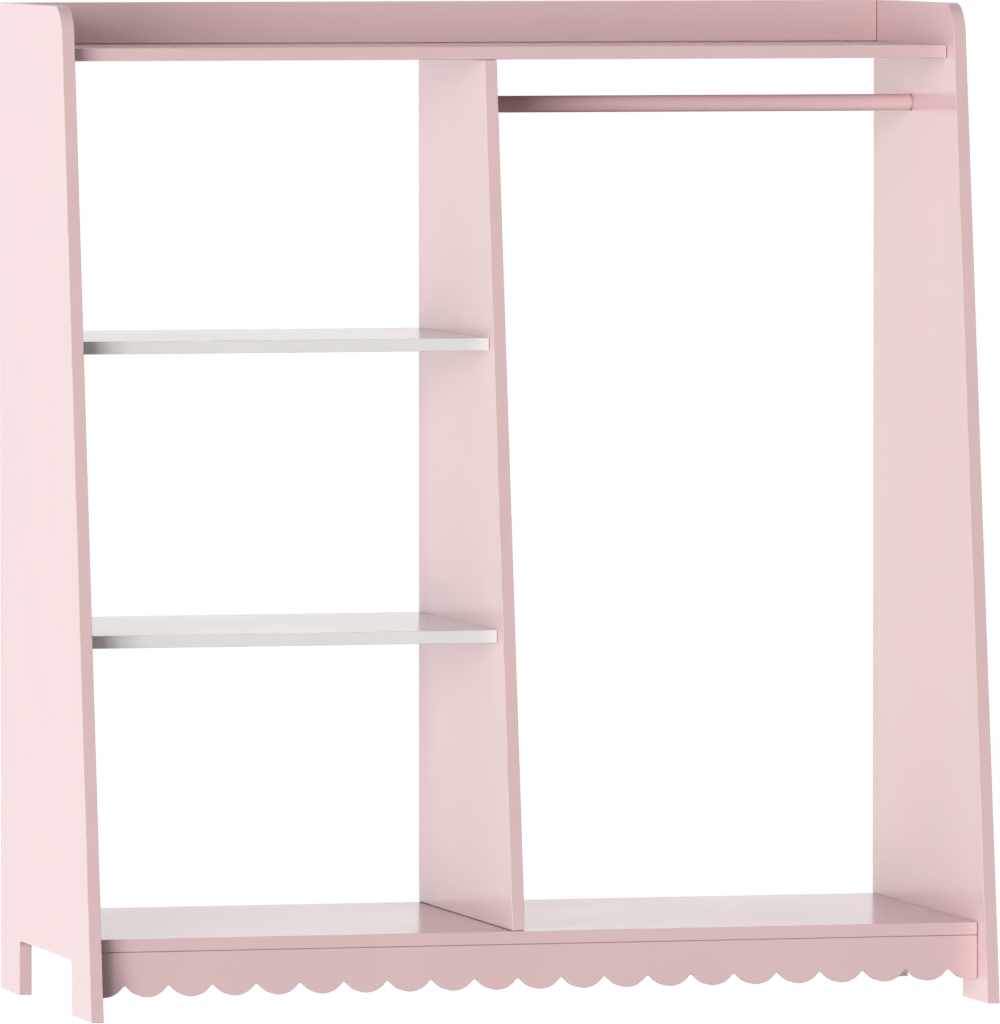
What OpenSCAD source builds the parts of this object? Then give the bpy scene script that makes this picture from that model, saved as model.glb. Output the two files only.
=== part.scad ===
// Open wardrobe for a child's room, in board 15 mm thick.
// Two side panels lean back from the floor and stand on cut-out feet. Between them are a top shelf
// with a raised rail along its back, a bottom shelf with a scalloped apron, and a centre divider.
// The left bay has two fixed shelves and the right bay a round hanging rail. The back is open.
// The boards meet in dowels and in cam joints, with every cam on a face that is out of sight.
// The origin is on the floor, at the middle of the width and of the floor depth. The front is -Y.

/* [Overall] */
// Width over the two side panels
body_w = 1100; // [900:1:1300]
// Height of the side panels
body_h = 1180; // [1120:1:1400]
// Depth of the side panels at the floor
foot_depth = 500; // [440:1:600]
// Depth of the side panels at the top, before their corner is rounded
top_depth = 345; // [310:1:420]
// Radius of the side panels' top front corner
corner_r = 40; // [10:1:90]
// Thickness of every board
board_t = 15; // [14:0.5:19]

/* [Feet] */
// Width of each foot along the floor, front and back
foot_w = 105; // [80:1:150]
// Height of the cut-out between the feet
foot_h = 65; // [45:1:72]
// Radius of the cut-out's two upper corners
foot_r = 10; // [3:1:30]

/* [Divider and shelves] */
// Place of the divider's middle, left of the wardrobe's middle when negative
divider_x = -26.5; // [-150:0.5:150]
// How far the divider's front edge stands behind the side panels' front edges
divider_setback = 29; // [10:1:60]
// Height of the back rail above the top shelf, up to the top of the side panels
gallery_h = 50; // [44:1:90]
// How far the top shelf's front edge stands behind the side panels' front edges
top_setback = 31; // [10:1:60]
// Height of the bottom shelf's top face, whose front edge is flush with the divider
bottom_z = 93.5; // [88:0.5:130]
// Height of the upper shelf's top face
upper_z = 787; // [650:1:900]
// How far the upper shelf's front edge stands behind the divider's front edge
upper_setback = 20; // [0:1:60]
// Height of the lower shelf's top face
lower_z = 444; // [300:1:580]
// How far the lower shelf's front edge stands behind the divider's front edge
lower_setback = 26; // [0:1:60]

/* [Scalloped apron] */
// Height of the apron, from the shelf down to the lowest point of its lobes
apron_h = 53.3; // [50:0.1:70]
// Distance from one lobe to the next
lobe_pitch = 52.6; // [40:0.1:62]
// Radius of each lobe
lobe_r = 28; // [25:0.5:40]
// Radius that rounds the notch between two lobes
notch_r = 5; // [2:0.5:8]

/* [Hanging rail] */
// Diameter of the round rail
rail_d = 20; // [14:0.5:30]
// Height from the rail's axis to the underside of the top shelf
rail_drop = 56; // [48:1:120]
// Distance from the rail's axis to the back edges
rail_in = 163; // [120:1:200]
// Depth of the blind sockets that hold the rail's ends
socket_depth = 7; // [4:0.5:9]

/* [Cam joints and dowels] */
// Distance from a board's front or back edge to its nearest cam
cam_inset = 50; // [40:1:70]
// Distance from a cam to the dowel beside it, further in from the edge
dowel_offset = 32; // [20:1:50]
// Diameter of a cam
cam_d = 15; // [13:0.5:17]
// Distance from a board's end to the middle of its cams
cam_reach = 24; // [20:0.5:32]
// Depth of a cam past the middle of the board
cam_past = 4.5; // [4:0.1:5]
// Diameter of a cam bolt where it screws into the face of a board
bolt_d = 6; // [5:0.5:6.5]
// Length of a cam bolt inside the face that it screws into
bolt_in_face = 11; // [8:0.5:12]
// Diameter of a cam bolt's collar
collar_d = 7.5; // [7:0.1:8]
// Diameter of a cam bolt's head
head_d = 7; // [6:0.1:7.5]
// Diameter of a cam bolt's neck, behind its head
neck_d = 3.4; // [2.5:0.1:4.5]
// Diameter of a wooden dowel
dowel_d = 8; // [6:0.5:9]
// Length of a wooden dowel
dowel_l = 30; // [24:1:35]
// Length of a wooden dowel inside the face of a board
dowel_in_face = 9; // [7:0.5:10]
// Distance from a shelf to the dowel in each end of the apron and of the back rail
stiffener_dowel = 12; // [9:0.5:14]
// Distance from a shelf to the cam in each end of the apron and of the back rail
stiffener_cam = 32; // [27:0.5:34]
// Number of dowels between a shelf and its apron or its back rail
stiffener_dowels = 4; // [2:1:6]

/* [Wall restraint] */
// Distance between the two pilot holes in the back of the back rail
restraint_gap = 800; // [400:1:820]
// Diameter of a pilot hole
restraint_d = 3; // [2:0.5:5]
// Depth of a pilot hole
restraint_depth = 10; // [6:0.5:11]

/* [Clearances] */
// Space around a dowel, a bolt or a cam in its bore
bore_fit = 0.1; // [0.05:0.05:0.2]
// Space around the rail in its sockets, and at its two ends
rail_fit = 0.25; // [0.1:0.05:0.5]
// Space past the end of a dowel or bolt at the bottom of its bore
bore_end = 0.8; // [0.5:0.1:1.5]
// Space around a bolt's head and neck inside a cam
cam_fit = 0.3; // [0.2:0.05:0.4]

/* [Hidden] */
$fn = 64;

PINK = "#E9CACA";
WHITE = "#F2F1ED";
BEECH = "#D9B88C";
ZINC = "#A9ABAD";
STEEL = "#C9CBCE";

// A cut runs this far past an open face
past = 1;
// An arc runs this far past the line or arc that it blends with, so the two cross in a clean point
lap = 0.002;

inner_x = body_w / 2 - board_t;
back_y = foot_depth / 2;
lean = (foot_depth - top_depth) / body_h;
lean_angle = atan(lean);
mid_t = board_t / 2;

// Front edges at a height, on the side panels and on the divider
function side_front(z) = lean * z - back_y;
function divider_front(z) = side_front(z) + divider_setback;

top_z = body_h - gallery_h;
divider_left = divider_x - mid_t;
divider_right = divider_x + mid_t;
divider_low = bottom_z;
divider_high = top_z - board_t;

// A shelf is its left end, its right end, the height of its top face and its front edge
top = [-inner_x, inner_x, top_z, side_front(top_z) + top_setback];
bottom = [-inner_x, inner_x, bottom_z, divider_front(bottom_z)];
upper = [-inner_x, divider_left, upper_z, divider_front(upper_z) + upper_setback];
lower = [-inner_x, divider_left, lower_z, divider_front(lower_z) + lower_setback];

apron_top = bottom_z - board_t;
apron_front = bottom[3];
rail_y = back_y - rail_in;
rail_z = top_z - board_t - rail_drop;

// A bolt's parts along its length, and the cam's depth in the board
cam_h = mid_t + cam_past;
collar_t = 1.5;
shank_d = 5;
head_l = 3;
head_gap = 1.2;
head_start = cam_reach - head_gap - head_l;
neck_l = 4;
dowel_chamfer = 1;
driver_w = 1.6;
driver_depth = 2;
cam_turn = 110;

// Turns of a joint's own frame: its z runs from the joint face into the board with the cam, and
// its x points at the face that the cam is in
LEFT_END = [0, 90, 0];
RIGHT_END = [0, 90, 180];
LEFT_UPRIGHT = [90, 0, 90];
RIGHT_UPRIGHT = [-90, 0, 90];
UNDER_SHELF = [180, 0, 0];
ON_SHELF = [0, 0, 0];

// Rows of fittings along y, for a board whose front edge is given
function cam_rows(front) = [front + cam_inset, back_y - cam_inset];
function dowel_rows(front) = [front + cam_inset + dowel_offset, back_y - cam_inset - dowel_offset];

// Joints, each a place and a turn: at both ends of a shelf, at both ends of the divider, and at
// both ends of an upright board between the side panels
function shelf_joints(shelf, rows) = [for (y = rows)
    each [[[shelf[0], y, shelf[2] - mid_t], LEFT_END], [[shelf[1], y, shelf[2] - mid_t], RIGHT_END]]];
function divider_joints(low_rows, high_rows) = concat(
    [for (y = low_rows) [[divider_x, y, divider_low], ON_SHELF]],
    [for (y = high_rows) [[divider_x, y, divider_high], UNDER_SHELF]]);
function upright_joints(y, z) =
    [[[-inner_x, y, z], LEFT_UPRIGHT], [[inner_x, y, z], RIGHT_UPRIGHT]];

// Dowels spaced evenly along the edge where a shelf meets its apron or its back rail
function edge_joints(y, z, turn) = [for (i = [1 : stiffener_dowels])
    [[inner_x * (2 * i / (stiffener_dowels + 1) - 1), y, z], turn]];

function shelf_cams(shelf) = shelf_joints(shelf, cam_rows(shelf[3]));
function shelf_dowels(shelf) = shelf_joints(shelf, dowel_rows(shelf[3]));
divider_cams = divider_joints(cam_rows(divider_front(divider_low)),
    cam_rows(divider_front(divider_high)));
divider_dowels = divider_joints(dowel_rows(divider_front(divider_low)),
    dowel_rows(divider_front(divider_high)));
gallery_cams = upright_joints(back_y - mid_t, top_z + stiffener_cam);
gallery_dowels = upright_joints(back_y - mid_t, top_z + stiffener_dowel);
gallery_edge = edge_joints(back_y - mid_t, top_z, ON_SHELF);
apron_cams = upright_joints(apron_front + mid_t, apron_top - stiffener_cam);
apron_dowels = upright_joints(apron_front + mid_t, apron_top - stiffener_dowel);
apron_edge = edge_joints(apron_front + mid_t, apron_top, UNDER_SHELF);

// The joints that meet a side panel or the divider face on
end_cams = concat(shelf_cams(top), shelf_cams(bottom), shelf_cams(upper), shelf_cams(lower),
    gallery_cams, apron_cams);
end_dowels = concat(shelf_dowels(top), shelf_dowels(bottom), shelf_dowels(upper),
    shelf_dowels(lower), gallery_dowels, apron_dowels);
all_cams = concat(end_cams, divider_cams);
all_dowels = concat(end_dowels, divider_dowels, gallery_edge, apron_edge);

// Draws the children at each joint
module at(joints) {
    for (joint = joints)
        translate(joint[0]) rotate(joint[1]) children();
}

// Hole in a board's face for the screwed end of a cam bolt
module bolt_bore() {
    translate([0, 0, -bolt_in_face - bore_end])
        cylinder(d = bolt_d + 2 * bore_fit, h = bolt_in_face + bore_end + past);
}

// Hole in a board's end for a cam bolt, and the round seat of its cam
module cam_seat() {
    translate([0, 0, -past]) cylinder(d = collar_d + 2 * bore_fit, h = cam_reach + past);
    translate([-cam_past, 0, cam_reach]) rotate([0, 90, 0])
        cylinder(d = cam_d + 2 * bore_fit, h = cam_h + past);
}

// Hole in a board's face for the short end of a dowel
module dowel_face_bore() {
    translate([0, 0, -dowel_in_face - bore_end])
        cylinder(d = dowel_d + 2 * bore_fit, h = dowel_in_face + bore_end + past);
}

// Hole in a board's end or edge for the long end of a dowel
module dowel_edge_bore() {
    translate([0, 0, -past])
        cylinder(d = dowel_d + 2 * bore_fit, h = past + dowel_l - dowel_in_face + bore_end);
}

// Cam bolt, turned to the profile of its screwed end, collar, shank, neck and head
module cam_bolt() {
    tip_r = bolt_d / 4;
    rotate_extrude() polygon([
        [0, -bolt_in_face],
        [tip_r, -bolt_in_face],
        [bolt_d / 2, tip_r - bolt_in_face],
        [bolt_d / 2, 0],
        [collar_d / 2, 0],
        [collar_d / 2, collar_t],
        [shank_d / 2, collar_t],
        [shank_d / 2, head_start - neck_l],
        [neck_d / 2, head_start - neck_l],
        [neck_d / 2, head_start],
        [head_d / 2, head_start],
        [head_d / 2, head_start + head_l],
        [0, head_start + head_l]
    ]);
}

// Part of a round channel in a cam, from radius r_in out to r_out and w high
module cam_channel(r_in, r_out, w) {
    rotate_extrude(angle = cam_turn) translate([r_in, -w / 2]) square([r_out - r_in, w]);
}

// Cam: a drum with a curved channel that catches the bolt's head, and a cross for the driver
module cam_disc() {
    r_in = head_gap - cam_fit;
    r_out = head_gap + head_l + cam_fit;
    head_w = head_d + 2 * cam_fit;
    neck_w = neck_d + 2 * cam_fit;
    translate([0, 0, cam_reach]) rotate([0, 90, 0]) difference() {
        translate([0, 0, -cam_past]) cylinder(d = cam_d, h = cam_h);
        rotate([0, 0, -cam_turn / 4]) {
            cam_channel(r_in, r_out, head_w);
            cam_channel(r_in, cam_d, neck_w);
            rotate([0, 0, cam_turn]) translate([r_in, -head_w / 2, -head_w / 2])
                cube([cam_d, head_w, head_w]);
        }
        translate([head_gap - cam_fit / 2, 0, 0]) rotate([0, 90, 0])
            cylinder(d = head_w, h = head_l + cam_fit);
        for (turn = [0, 90])
            rotate([0, 0, turn]) translate([-cam_d / 4, -driver_w / 2, mid_t - driver_depth])
                cube([cam_d / 2, driver_w, driver_depth + past]);
    }
}

// Dowel with chamfered ends
module wood_dowel() {
    r = dowel_d / 2;
    low = -dowel_in_face;
    high = dowel_l - dowel_in_face;
    rotate_extrude() polygon([
        [0, low],
        [r - dowel_chamfer, low],
        [r, low + dowel_chamfer],
        [r, high - dowel_chamfer],
        [r - dowel_chamfer, high],
        [0, high]
    ]);
}

// Cut-out between the feet, drawn in the side view with its upper corners rounded
module foot_cut() {
    low = foot_w - back_y;
    wide = foot_depth - 2 * foot_w;
    translate([low, -past]) square([wide, foot_h - foot_r + past]);
    translate([low + foot_r, 0]) square([wide - 2 * foot_r, foot_h]);
    for (y = [low + foot_r, low + wide - foot_r])
        translate([y, foot_h - foot_r]) circle(foot_r);
}

// What rounding takes off the top front corner, drawn in the side view
module corner_waste() {
    to_front = [-cos(lean_angle), sin(lean_angle)];
    centre = [side_front(body_h - corner_r) + (corner_r - lap) / cos(lean_angle),
        body_h - corner_r];
    difference() {
        polygon([
            centre,
            centre + (corner_r + past) * to_front,
            [side_front(body_h) - past, body_h + past],
            [centre[0], body_h + past]
        ]);
        translate(centre) circle(corner_r);
    }
}

// Side panel's outline in the side view: leaning front, rounded top corner and two feet
module side_outline() {
    difference() {
        polygon([
            [back_y, 0],
            [back_y, body_h],
            [side_front(body_h), body_h],
            [side_front(0), 0]
        ]);
        foot_cut();
        corner_waste();
    }
}

// Board cut to an outline in the side view, whose left face is at x
module upright_board(x) {
    translate([x, 0, 0]) rotate([90, 0, 90]) linear_extrude(board_t) children();
}

// Plain shelf board, before its holes
module shelf_board(shelf) {
    translate([shelf[0], shelf[3], shelf[2] - board_t])
        cube([shelf[1] - shelf[0], back_y - shelf[3], board_t]);
}

// Shelf with the cam seats and dowel holes of its two ends
module bored_shelf(shelf) {
    difference() {
        shelf_board(shelf);
        at(shelf_cams(shelf)) cam_seat();
        at(shelf_dowels(shelf)) dowel_edge_bore();
    }
}

// Space that the rail's two sockets take, from one socket floor to the other
module rail_space() {
    translate([divider_right - socket_depth, rail_y, rail_z]) rotate([0, 90, 0])
        cylinder(d = rail_d + 2 * rail_fit, h = inner_x - divider_right + 2 * socket_depth);
}

module side_panel(x) {
    color(PINK) difference() {
        upright_board(x) side_outline();
        at(end_cams) bolt_bore();
        at(end_dowels) dowel_face_bore();
        rail_space();
    }
}

module left_side_panel() {
    side_panel(-body_w / 2);
}

module right_side_panel() {
    side_panel(inner_x);
}

module centre_divider() {
    color(PINK) difference() {
        upright_board(divider_left) polygon([
            [back_y, divider_low],
            [back_y, divider_high],
            [divider_front(divider_high), divider_high],
            [divider_front(divider_low), divider_low]
        ]);
        at(end_cams) bolt_bore();
        at(end_dowels) dowel_face_bore();
        at(divider_cams) cam_seat();
        at(divider_dowels) dowel_edge_bore();
        rail_space();
    }
}

module top_shelf() {
    color(PINK) difference() {
        bored_shelf(top);
        at(divider_cams) bolt_bore();
        at(divider_dowels) dowel_face_bore();
        at(gallery_edge) dowel_face_bore();
    }
}

module bottom_shelf() {
    color(PINK) difference() {
        bored_shelf(bottom);
        at(divider_cams) bolt_bore();
        at(divider_dowels) dowel_face_bore();
        at(apron_edge) dowel_face_bore();
    }
}

module upper_shelf() {
    color(WHITE) bored_shelf(upper);
}

module lower_shelf() {
    color(WHITE) bored_shelf(lower);
}

// Rail along the back of the top shelf, with pilot holes for a strap to the wall
module back_rail() {
    color(PINK) difference() {
        translate([-inner_x, back_y - board_t, top_z]) cube([2 * inner_x, board_t, gallery_h]);
        at(gallery_cams) cam_seat();
        at(gallery_dowels) dowel_edge_bore();
        at(gallery_edge) dowel_edge_bore();
        for (side = [-1, 1])
            translate([side * restraint_gap / 2, back_y - restraint_depth, top_z + gallery_h / 2])
                rotate([-90, 0, 0]) cylinder(d = restraint_d, h = restraint_depth + past);
    }
}

// Apron's outline in the front view: a row of round lobes, with one at the middle and a part lobe at
// each end. The small circle between two lobes touches both, so the outline runs smoothly round it.
module apron_outline() {
    low = apron_top - apron_h;
    count = ceil(inner_x / lobe_pitch);
    fall = sqrt(pow(lobe_r + notch_r, 2) - pow(lobe_pitch / 2, 2));
    touch = lobe_r - fall * lobe_r / (lobe_r + notch_r);
    intersection() {
        translate([-inner_x, low - past]) square([2 * inner_x, apron_h + past]);
        translate([0, low]) difference() {
            union() {
                translate([-inner_x, touch]) square([2 * inner_x, apron_h]);
                for (i = [-count : count])
                    translate([i * lobe_pitch, lobe_r]) circle(lobe_r);
            }
            for (i = [-count : count - 1])
                translate([(i + 0.5) * lobe_pitch, lobe_r - fall]) circle(notch_r + lap);
        }
    }
}

module scalloped_apron() {
    color(PINK) difference() {
        translate([0, apron_front + board_t, 0]) rotate([90, 0, 0])
            linear_extrude(board_t) apron_outline();
        at(apron_cams) cam_seat();
        at(apron_dowels) dowel_edge_bore();
        at(apron_edge) dowel_edge_bore();
    }
}

module hanging_rail() {
    seat = socket_depth - rail_fit;
    color(PINK) translate([divider_right - seat, rail_y, rail_z]) rotate([0, 90, 0])
        cylinder(d = rail_d, h = inner_x - divider_right + 2 * seat);
}

module wood_dowels() {
    color(BEECH) at(all_dowels) wood_dowel();
}

module cam_bolts() {
    color(STEEL) at(all_cams) cam_bolt();
}

module cam_discs() {
    color(ZINC) at(all_cams) cam_disc();
}

left_side_panel();
right_side_panel();
centre_divider();
top_shelf();
back_rail();
bottom_shelf();
scalloped_apron();
upper_shelf();
lower_shelf();
hanging_rail();
wood_dowels();
cam_bolts();
cam_discs();
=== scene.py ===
"""Looks for an open wardrobe for a child's room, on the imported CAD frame.

The boards are lacquered fibreboard with eased edges. Each is a copy of its CAD node, merged and
bevelled along the edges that a router reaches. The rail is a lacquered turned pole. The dowels, cam
bolts and cams keep their CAD nodes. Lengths are in metres, +Z is up and the front is -Y.
"""

import math

import bmesh
import bpy
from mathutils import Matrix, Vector


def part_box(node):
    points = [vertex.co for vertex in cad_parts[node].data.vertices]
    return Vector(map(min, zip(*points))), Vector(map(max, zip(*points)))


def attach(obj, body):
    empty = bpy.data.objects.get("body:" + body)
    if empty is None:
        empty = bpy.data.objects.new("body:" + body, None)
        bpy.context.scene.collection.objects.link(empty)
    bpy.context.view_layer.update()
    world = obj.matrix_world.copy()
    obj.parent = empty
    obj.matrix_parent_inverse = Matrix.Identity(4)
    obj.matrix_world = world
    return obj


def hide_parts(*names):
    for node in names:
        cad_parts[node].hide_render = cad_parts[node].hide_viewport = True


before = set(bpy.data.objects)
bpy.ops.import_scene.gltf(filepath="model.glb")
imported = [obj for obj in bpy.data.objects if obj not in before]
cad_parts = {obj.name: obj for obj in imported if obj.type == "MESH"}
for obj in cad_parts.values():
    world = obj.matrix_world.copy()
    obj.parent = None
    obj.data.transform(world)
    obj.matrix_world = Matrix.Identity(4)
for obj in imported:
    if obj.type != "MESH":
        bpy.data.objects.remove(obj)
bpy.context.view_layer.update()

MM = 0.001
scene = bpy.context.scene


# --- Materials ---

# The middle part of a noise's range, over which tones and roughness are spread
NOISE_LOW, NOISE_HIGH = 0.3, 0.7
# The same for the flecks in beech, which are more clear-cut
FLECK_LOW, FLECK_HIGH = 0.35, 0.65
# How wide the clouds in sprayed lacquer are
CLOUD_MM = 220
LACQUER_IOR = 1.5
# A pattern's scale along x, y and z. A small one draws it out along the grain, which runs along x
EVEN = (1, 1, 1)
POLE_GRAIN = (0.06, 1, 1)
BEECH_GRAIN = (0.08, 1, 1)


def linear(hex_colour):
    """The linear RGBA of an sRGB colour such as "#D8BABC"."""
    rgba = []
    for start in (1, 3, 5):
        c = int(hex_colour[start : start + 2], 16) / 255
        rgba.append(c / 12.92 if c <= 0.04045 else ((c + 0.055) / 1.055) ** 2.4)
    return (*rgba, 1.0)


def add(tree, kind, values=None, links=None, stops=None, **settings):
    """Adds a node with its settings, its sockets' own values, the outputs that feed it, and the
    colours of its ramp."""
    node = tree.nodes.new(kind)
    for name, value in settings.items():
        setattr(node, name, value)
    for name, value in (values or {}).items():
        node.inputs[name].default_value = value
    for name, output in (links or {}).items():
        tree.links.new(output, node.inputs[name])
    if stops:
        for element, (position, hex_colour) in zip(node.color_ramp.elements, stops):
            element.position = position
            element.color = linear(hex_colour)
    return node


def new_material(name):
    """An empty node material, with its shader and its Object coordinates."""
    material = bpy.data.materials.new(name)
    material.use_nodes = True
    tree = material.node_tree
    tree.nodes.clear()
    place = add(tree, "ShaderNodeTexCoord").outputs["Object"]
    shader = add(tree, "ShaderNodeBsdfPrincipled")
    add(tree, "ShaderNodeOutputMaterial", links={"Surface": shader.outputs["BSDF"]})
    return material, tree, place, shader


def drift(tree, shader, noise, colours, gloss):
    """Lets a noise take the shader's colour from one of two tones to the other, and its roughness
    from one of the two numbers of gloss to the other."""
    tone = add(tree, "ShaderNodeValToRGB", links={"Fac": noise.outputs["Fac"]},
        stops=[(NOISE_LOW, colours[0]), (NOISE_HIGH, colours[1])])
    sheen = add(tree, "ShaderNodeMapRange",
        {"From Min": NOISE_LOW, "From Max": NOISE_HIGH, "To Min": gloss[0], "To Max": gloss[1]},
        {"Value": noise.outputs["Fac"]})
    tree.links.new(tone.outputs["Color"], shader.inputs["Base Color"])
    tree.links.new(sheen.outputs["Result"], shader.inputs["Roughness"])


def lacquer(name, colours, gloss, peel_mm, peel_depth_mm, along=EVEN):
    """Satin lacquer sprayed on board or wood.

    The spray dries a little cloudy, so the colour drifts between two close tones and the roughness
    between the two numbers of gloss over CLOUD_MM. Orange peel is a low ripple peel_mm wide.
    """
    material, tree, place, shader = new_material(name)
    cloud = add(tree, "ShaderNodeTexNoise", {"Scale": 1 / (CLOUD_MM * MM), "Detail": 2.0},
        {"Vector": place})
    drift(tree, shader, cloud, colours, gloss)
    stretch = add(tree, "ShaderNodeMapping", {"Scale": along}, {"Vector": place})
    peel = add(tree, "ShaderNodeTexNoise", {"Scale": 1 / (peel_mm * MM), "Detail": 1.0},
        {"Vector": stretch.outputs["Vector"]})
    ripple = add(tree, "ShaderNodeBump", {"Distance": peel_depth_mm * MM},
        {"Height": peel.outputs["Fac"]})
    tree.links.new(ripple.outputs["Normal"], shader.inputs["Normal"])
    shader.inputs["IOR"].default_value = LACQUER_IOR
    return material


def bare_wood(name, colours, roughness, fleck_mm, pore_depth_mm, along):
    """Wood turned and left bare: pale and dull, with fine darker flecks along its grain that are
    also its pores."""
    material, tree, place, shader = new_material(name)
    stretch = add(tree, "ShaderNodeMapping", {"Scale": along}, {"Vector": place})
    fleck = add(tree, "ShaderNodeTexNoise", {"Scale": 1 / (fleck_mm * MM), "Detail": 3.0},
        {"Vector": stretch.outputs["Vector"]})
    tone = add(tree, "ShaderNodeValToRGB", links={"Fac": fleck.outputs["Fac"]},
        stops=[(FLECK_LOW, colours[0]), (FLECK_HIGH, colours[1])])
    pores = add(tree, "ShaderNodeBump", {"Distance": pore_depth_mm * MM},
        {"Height": fleck.outputs["Fac"]})
    tree.links.new(tone.outputs["Color"], shader.inputs["Base Color"])
    tree.links.new(pores.outputs["Normal"], shader.inputs["Normal"])
    shader.inputs["Roughness"].default_value = roughness
    return material


def metal(name, colours, gloss, grain_mm, grain_depth_mm):
    """Bare or plated metal, whose fine grain changes its tone, its roughness and its surface."""
    material, tree, place, shader = new_material(name)
    grain = add(tree, "ShaderNodeTexNoise", {"Scale": 1 / (grain_mm * MM), "Detail": 3.0},
        {"Vector": place})
    drift(tree, shader, grain, colours, gloss)
    pits = add(tree, "ShaderNodeBump", {"Distance": grain_depth_mm * MM},
        {"Height": grain.outputs["Fac"]})
    tree.links.new(pits.outputs["Normal"], shader.inputs["Normal"])
    shader.inputs["Metallic"].default_value = 1.0
    return material


# Faces of the pink boards: a satin that mirrors pale surroundings when it is seen from the side
pink_face = lacquer("pink_satin_lacquer_on_board_face", ("#D8B9BA", "#DBBCBD"), (0.21, 0.23),
    peel_mm=5.0, peel_depth_mm=0.0015)
# Milled edges of the pink boards: the fibres drink some of the lacquer, so they are a little duller
pink_edge = lacquer("pink_satin_lacquer_on_milled_edge", ("#D7B8B9", "#DBBCBD"), (0.32, 0.36),
    peel_mm=2.5, peel_depth_mm=0.003)
# White shelves: the same satin faces and duller milled edges, in a white that is a little warm
white_face = lacquer("white_satin_lacquer_on_board_face", ("#DDDCD9", "#DFDEDC"), (0.21, 0.23),
    peel_mm=5.0, peel_depth_mm=0.0015)
white_edge = lacquer("white_satin_lacquer_on_milled_edge", ("#DDDCD9", "#E0DFDC"), (0.32, 0.36),
    peel_mm=2.5, peel_depth_mm=0.003)
# Rail: lacquer over a turned pole, whose grain runs along the pole as a faint ripple
pink_pole = lacquer("pink_satin_lacquer_on_turned_pole", ("#D7B8B9", "#DBBCBD"), (0.22, 0.28),
    peel_mm=2.0, peel_depth_mm=0.004, along=POLE_GRAIN)
# Dowels: bare beech, warm and dull beside the lacquer, with fine flecks
beech = bare_wood("bare_beech", ("#C79F72", "#DDBD92"), 0.65,
    fleck_mm=1.2, pore_depth_mm=0.05, along=BEECH_GRAIN)
# Cam bolts: bright zinc plate on turned steel
zinc_plate = metal("bright_zinc_plated_steel", ("#C3C5C8", "#D6D8DA"), (0.22, 0.34),
    grain_mm=1.5, grain_depth_mm=0.01)
# Cams: die-cast zinc, tumbled to a dull grey with fine pits
cast_zinc = metal("tumbled_die_cast_zinc", ("#8E9093", "#AAACAF"), (0.42, 0.58),
    grain_mm=0.8, grain_depth_mm=0.03)


# --- Pieces ---

# Verts closer than this are one, and a vert closer than this to a board's end belongs to it
MERGE_MM = 0.1
# How near to a plane a vert has to be to lie in it
FLAT_MM = 0.01
# Faces that meet at more than the first angle make an arris, at less than the second a plane
ARRIS_ANGLE = math.radians(35)
PLANE_ANGLE = math.radians(0.2)
# How far an arris is eased, and in how many steps
EASE_MM = 0.7
EASE_STEPS = 3
# The shadow gap where a board's end meets another board, and the finer one of the white shelves
GAP_MM = 0.9
FINE_GAP_MM = 0.4
# The width of the rim of a board's end, which stays drawn in
RIM_MM = 0.8
# A face whose normal has more than this along the board's thickness is one of its two big faces
BIG_FACE_COSINE = 0.7
# The weight at which only the largest faces round a vert set its normal
LARGEST_FACES_ONLY = 100
# The rail's ends, inside their sockets, and the sockets
TENON_RADIUS_MM = 9.0
SOCKET_RADIUS_MM = 10.25
# The steps of a full turn
TURN_STEPS = 96

# The axis along which each board is thin
THICKNESS_AXIS = {
    "left_side_panel": 0,
    "right_side_panel": 0,
    "centre_divider": 0,
    "top_shelf": 2,
    "bottom_shelf": 2,
    "upper_shelf": 2,
    "lower_shelf": 2,
    "back_rail": 1,
    "scalloped_apron": 1,
}

# The ends of each board that stand against another one: the axis, and 0 for the low end or 1 for
# the high one
JOINTS = {
    "centre_divider": ((2, 0), (2, 1)),
    "top_shelf": ((0, 0), (0, 1)),
    "bottom_shelf": ((0, 0), (0, 1)),
    "upper_shelf": ((0, 0), (0, 1)),
    "lower_shelf": ((0, 0), (0, 1)),
    "back_rail": ((0, 0), (0, 1), (2, 0)),
    "scalloped_apron": ((0, 0), (0, 1), (2, 1)),
}

# How far back the rail's axis is, and how high
RAIL_Y_MM, RAIL_Z_MM = 87.0, 1059.0
# The rail's two sockets: the point on its axis at the divider's face and at the right panel's
RAIL_SOCKETS = {
    "centre_divider": Vector((-19.0, RAIL_Y_MM, RAIL_Z_MM)) * MM,
    "right_side_panel": Vector((535.0, RAIL_Y_MM, RAIL_Z_MM)) * MM,
}


def merged_copy(node):
    """A bmesh of a CAD node's shape, with its loose triangles joined. The distance also takes out
    the tiny edges where two arcs run into each other, which would hold back the easing."""
    mesh = bmesh.new()
    mesh.from_mesh(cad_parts[node].data)
    bmesh.ops.remove_doubles(mesh, verts=mesh.verts, dist=MERGE_MM * MM)
    return mesh


def is_arris(edge):
    """Whether two faces meet at a clear corner."""
    return len(edge.link_faces) == 2 and edge.calc_face_angle() > ARRIS_ANGLE


def arrises_from(first):
    """The arrises that can be reached from one vert along other arrises: those of a board's outline
    from one of its corners, or those of a hole's rim from one of its points."""
    found = set()
    waiting = [first]
    while waiting:
        vert = waiting.pop()
        for edge in vert.link_edges:
            if edge not in found and is_arris(edge):
                found.add(edge)
                waiting.append(edge.other_vert(vert))
    return found


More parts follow.
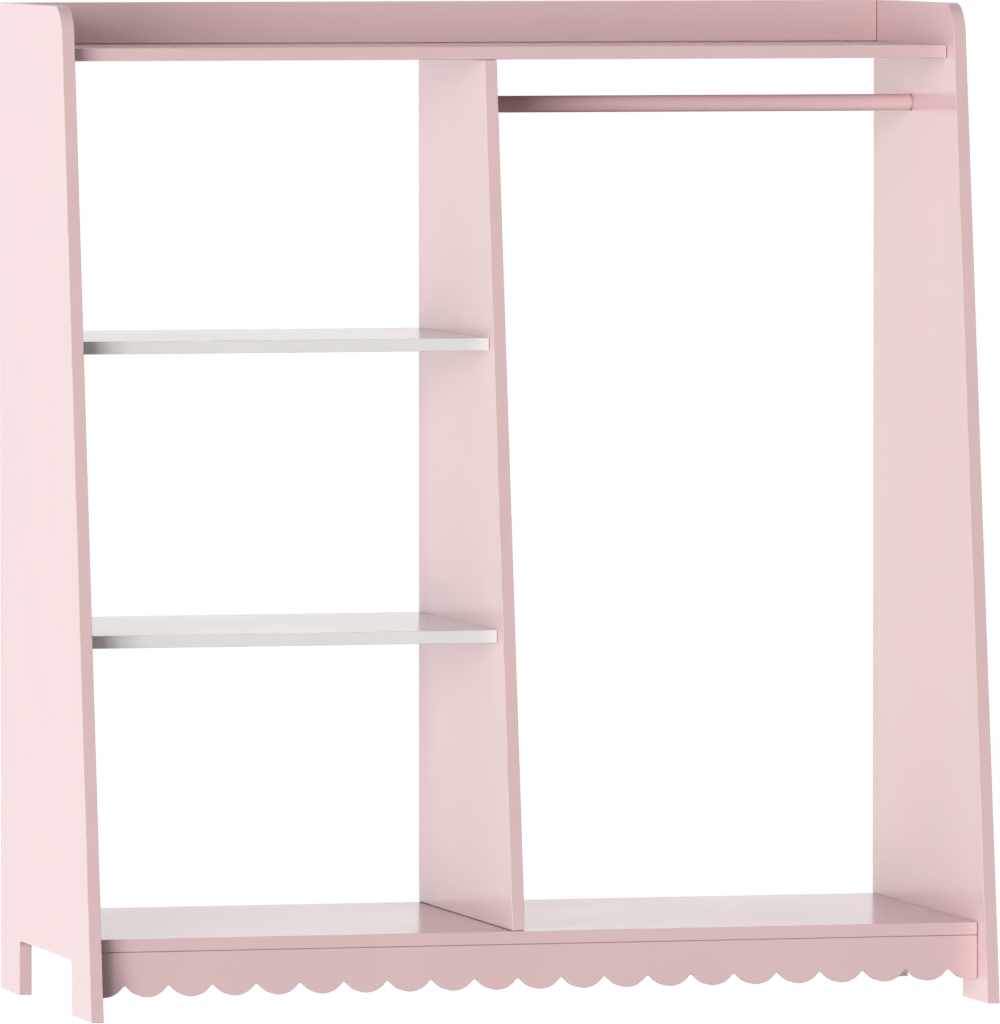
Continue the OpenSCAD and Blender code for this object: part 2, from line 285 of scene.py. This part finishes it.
def finish_piece(name, mesh, materials, node):
    """Makes an object of a bmesh, smooth across its small steps, and puts it in the CAD node's
    place."""
    data = bpy.data.meshes.new(name)
    mesh.to_mesh(data)
    mesh.free()
    for material in materials:
        data.materials.append(material)
    for polygon in data.polygons:
        polygon.use_smooth = True
    data.set_sharp_from_angle(angle=ARRIS_ANGLE)
    piece = bpy.data.objects.new(name, data)
    scene.collection.objects.link(piece)
    even = piece.modifiers.new("flat_faces_stay_flat", "WEIGHTED_NORMAL")
    even.weight = LARGEST_FACES_ONLY
    even.keep_sharp = True
    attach(piece, "root")
    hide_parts(node)


def socket_rim(mesh, centre):
    """The arrises round the socket that takes the rail."""
    near = [v for v in mesh.verts if abs(v.co.x - centre.x) < MERGE_MM * MM]
    radius = SOCKET_RADIUS_MM * MM
    return arrises_from(min(near, key=lambda v: abs((v.co - centre).length - radius)))


def draw_in(mesh, axis, height, gap_mm):
    """Takes the end of a board, at this height along an axis, back by the shadow gap of its joint.
    Returns the new height."""
    middle = sum(v.co[axis] for v in mesh.verts) / len(mesh.verts)
    new_height = height - math.copysign(gap_mm * MM, height - middle)
    for vert in mesh.verts:
        if abs(vert.co[axis] - height) < MERGE_MM * MM:
            vert.co[axis] = new_height
    return new_height


def close_gap(mesh, axis, height, new_height):
    """Brings the end out again, but for its rim, to meet the other board. The gap still shows as a
    fine dark line, and no light comes through it."""
    end = [f for f in mesh.faces
        if all(abs(v.co[axis] - new_height) < FLAT_MM * MM for v in f.verts)]
    bmesh.ops.inset_region(mesh, faces=end, thickness=RIM_MM * MM, use_boundary=True,
        use_even_offset=True)
    for vert in {v for f in end for v in f.verts}:
        vert.co[axis] = height


def board(node, face_lacquer, edge_lacquer, gap_mm=GAP_MM):
    """A board with its outline arrises eased, face lacquer on its two big faces and edge lacquer on
    its milled edges. Where it meets another board, a shadow gap shows as a fine dark line."""
    mesh = merged_copy(node)
    joints = [(axis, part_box(node)[side][axis]) for axis, side in JOINTS.get(node, ())]
    gaps = [(axis, height, draw_in(mesh, axis, height, gap_mm)) for axis, height in joints]
    bmesh.ops.dissolve_limit(mesh, angle_limit=PLANE_ANGLE, verts=mesh.verts,
        edges=[e for e in mesh.edges if not is_arris(e)])
    eased = arrises_from(min(mesh.verts, key=lambda v: (v.co.z, v.co.y, v.co.x)))
    if node in RAIL_SOCKETS:
        eased |= socket_rim(mesh, RAIL_SOCKETS[node])
    bmesh.ops.bevel(mesh, geom=list(eased), offset=EASE_MM * MM, offset_type="OFFSET",
        segments=EASE_STEPS, profile=0.5, affect="EDGES", clamp_overlap=False, material=-1)
    for axis, height, new_height in gaps:
        close_gap(mesh, axis, height, new_height)
    for face in mesh.faces:
        is_big = abs(face.normal[THICKNESS_AXIS[node]]) > BIG_FACE_COSINE
        face.material_index = 0 if is_big else 1
    finish_piece(node + "_board", mesh, (face_lacquer, edge_lacquer), node)


def pole(node):
    """The hanging rail. Its ends are turned down to enter the sockets, and its eased shoulders stop
    a shadow gap short of the boards."""
    low, high = (Vector(corner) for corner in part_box(node))
    middle = (low + high) / 2
    end = high.x - middle.x
    shoulder = RAIL_SOCKETS["right_side_panel"].x - middle.x - GAP_MM * MM
    radius, tenon, ease = high.z - middle.z, TENON_RADIUS_MM * MM, EASE_MM * MM
    half = [(end, 0), (end, tenon - ease), (end - ease, tenon), (shoulder, tenon)]
    for degrees in (0, 30, 60, 90):
        turn = math.radians(degrees)
        half.append((shoulder - ease + ease * math.cos(turn),
            radius - ease + ease * math.sin(turn)))
    profile = half + [(-x, r) for x, r in reversed(half)]
    mesh = bmesh.new()
    verts = [mesh.verts.new(middle + Vector((x, 0, r))) for x, r in profile]
    edges = [mesh.edges.new(pair) for pair in zip(verts, verts[1:])]
    bmesh.ops.spin(mesh, geom=verts + edges, cent=middle, axis=(1, 0, 0), angle=math.tau,
        steps=TURN_STEPS, use_merge=True)
    bmesh.ops.remove_doubles(mesh, verts=mesh.verts, dist=FLAT_MM * MM)
    bmesh.ops.recalc_face_normals(mesh, faces=mesh.faces)
    finish_piece(node + "_pole", mesh, (pink_pole,), node)


for node in ("left_side_panel", "right_side_panel", "centre_divider", "top_shelf", "bottom_shelf",
        "back_rail", "scalloped_apron"):
    board(node, pink_face, pink_edge)
for node in ("upper_shelf", "lower_shelf"):
    board(node, white_face, white_edge, FINE_GAP_MM)
pole("hanging_rail")

# The fittings keep their CAD solids
for node, material in (("wood_dowels", beech), ("cam_bolts", zinc_plate), ("cam_discs", cast_zinc)):
    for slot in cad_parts[node].material_slots:
        slot.material = material


# --- Studio ---

WHITE = "#FFFFFF"
TABLE_GLOW = 1.02
SURROUND_GLOW = 1.0
FLOOR_RADIUS = 400.0
# The soft boxes face this point, from this far away
LIGHT_TARGET = Vector((0.0, 0.0, 0.6))
LIGHT_DISTANCE = 60.0

# Name, turn, lift, width, height and glow of each soft box, as soft_box() takes them. The key is
# low and broad and stands to the left of the camera, as the dark left ends of the shelf fronts and
# of the rail say. The others are weaker, and the low ones stand for what the light table sends up.
# The two mirror boxes are behind the open bays: the panels' inner faces mirror the first, and the
# shelves the second
SOFT_BOXES = (
    ("key_box", -40, 2.5, 30, 25, 11.1),
    ("front_box", 12, 2.5, 74, 25, 0.2),
    ("left_box", -88, 2.5, 35, 25, 0.9),
    ("upper_left_box", -45, 30, 70, 30, 1.2),
    ("left_back_box", -120, 2.5, 30, 25, 1.3),
    ("low_left_box", -45, -25, 90, 30, 1.3),
    ("low_back_left_box", -135, -25, 90, 30, 1.5),
    ("back_right_box", 125, 5, 40, 30, 3.5),
    ("upper_back_box", 180, 30, 60, 30, 1.0),
    ("upper_right_box", 90, 30, 60, 30, 2.6),
    ("top_box", 0, 90, 90, 90, 0.15),
    ("panel_mirror_box", -167.5, 0, 15, 30, 1.3),
    ("shelf_mirror_box", 167.5, 4, 35, 12, 1.5),
)

# The camera stands where the photograph was taken: 16 m off, 14 degrees to the left of the front
# and a little above the middle, with a long lens. It sees past the floor's far edge
CAMERA_PLACE = (-3.9694, -15.6656, 1.3821)
CAMERA_DIRECTION = Vector((0.24553, 0.96811, -0.04980))
SENSOR_MM = 36.0
LENS_MM = 478.7
CAMERA_REACH = 1000.0


def studio_floor():
    """A wide light table, so far across that it fills the view behind the wardrobe. It glows evenly
    at white and no brighter, because a brighter one would eat into the edges in front of it. Only
    the camera sees it: the low soft boxes stand for the light that it sends up."""
    mesh = bmesh.new()
    bmesh.ops.create_circle(mesh, cap_ends=True, segments=TURN_STEPS, radius=FLOOR_RADIUS)
    data = bpy.data.meshes.new("studio_floor")
    mesh.to_mesh(data)
    mesh.free()
    material = bpy.data.materials.new("white_light_table")
    material.use_nodes = True
    tree = material.node_tree
    tree.nodes.clear()
    table = add(tree, "ShaderNodeEmission", {"Color": linear(WHITE), "Strength": TABLE_GLOW})
    add(tree, "ShaderNodeOutputMaterial", links={"Surface": table.outputs["Emission"]})
    data.materials.append(material)
    floor = bpy.data.objects.new("studio_floor", data)
    floor.visible_diffuse = False
    floor.visible_glossy = False
    floor.visible_shadow = False
    scene.collection.objects.link(floor)


def studio_world():
    """A plain white surround, which only the camera sees. The soft boxes do the lighting."""
    world = bpy.data.worlds.new("studio")
    world.use_nodes = True
    tree = world.node_tree
    tree.nodes.clear()
    sky = add(tree, "ShaderNodeBackground", {"Color": linear(WHITE), "Strength": SURROUND_GLOW})
    add(tree, "ShaderNodeOutputWorld", links={"Surface": sky.outputs["Background"]})
    scene.world = world
    world.cycles_visibility.diffuse = False
    world.cycles_visibility.glossy = False


def soft_box(name, turn, lift, width, height, glow):
    """A soft box LIGHT_DISTANCE away that faces the wardrobe and glows evenly. Turn is its angle in
    degrees to the right of the front, lift its angle above level, width and height the angles that
    it spans, and glow its radiance, where 1 is white."""
    turn, lift = math.radians(turn), math.radians(lift)
    away = Vector((math.sin(turn) * math.cos(lift), -math.cos(turn) * math.cos(lift),
        math.sin(lift)))
    data = bpy.data.lights.new(name, "AREA")
    data.shape = "RECTANGLE"
    data.size = 2 * LIGHT_DISTANCE * math.tan(math.radians(width / 2))
    data.size_y = 2 * LIGHT_DISTANCE * math.tan(math.radians(height / 2))
    data.energy = glow * math.pi * data.size * data.size_y
    light = bpy.data.objects.new(name, data)
    light.location = LIGHT_TARGET + away * LIGHT_DISTANCE
    light.rotation_euler = away.to_track_quat("Z", "Y").to_euler()
    light.visible_camera = False
    scene.collection.objects.link(light)


def studio_camera():
    """The camera, which looks along CAMERA_DIRECTION and keeps its top edge up."""
    data = bpy.data.cameras.new("camera")
    data.sensor_width = SENSOR_MM
    data.lens = LENS_MM
    data.clip_end = CAMERA_REACH
    camera = bpy.data.objects.new("camera", data)
    camera.location = CAMERA_PLACE
    camera.rotation_euler = CAMERA_DIRECTION.to_track_quat("-Z", "Y").to_euler()
    scene.collection.objects.link(camera)
    scene.camera = camera


scene.view_settings.view_transform = "Standard"
studio_floor()
studio_world()
for box in SOFT_BOXES:
    soft_box(*box)
studio_camera()
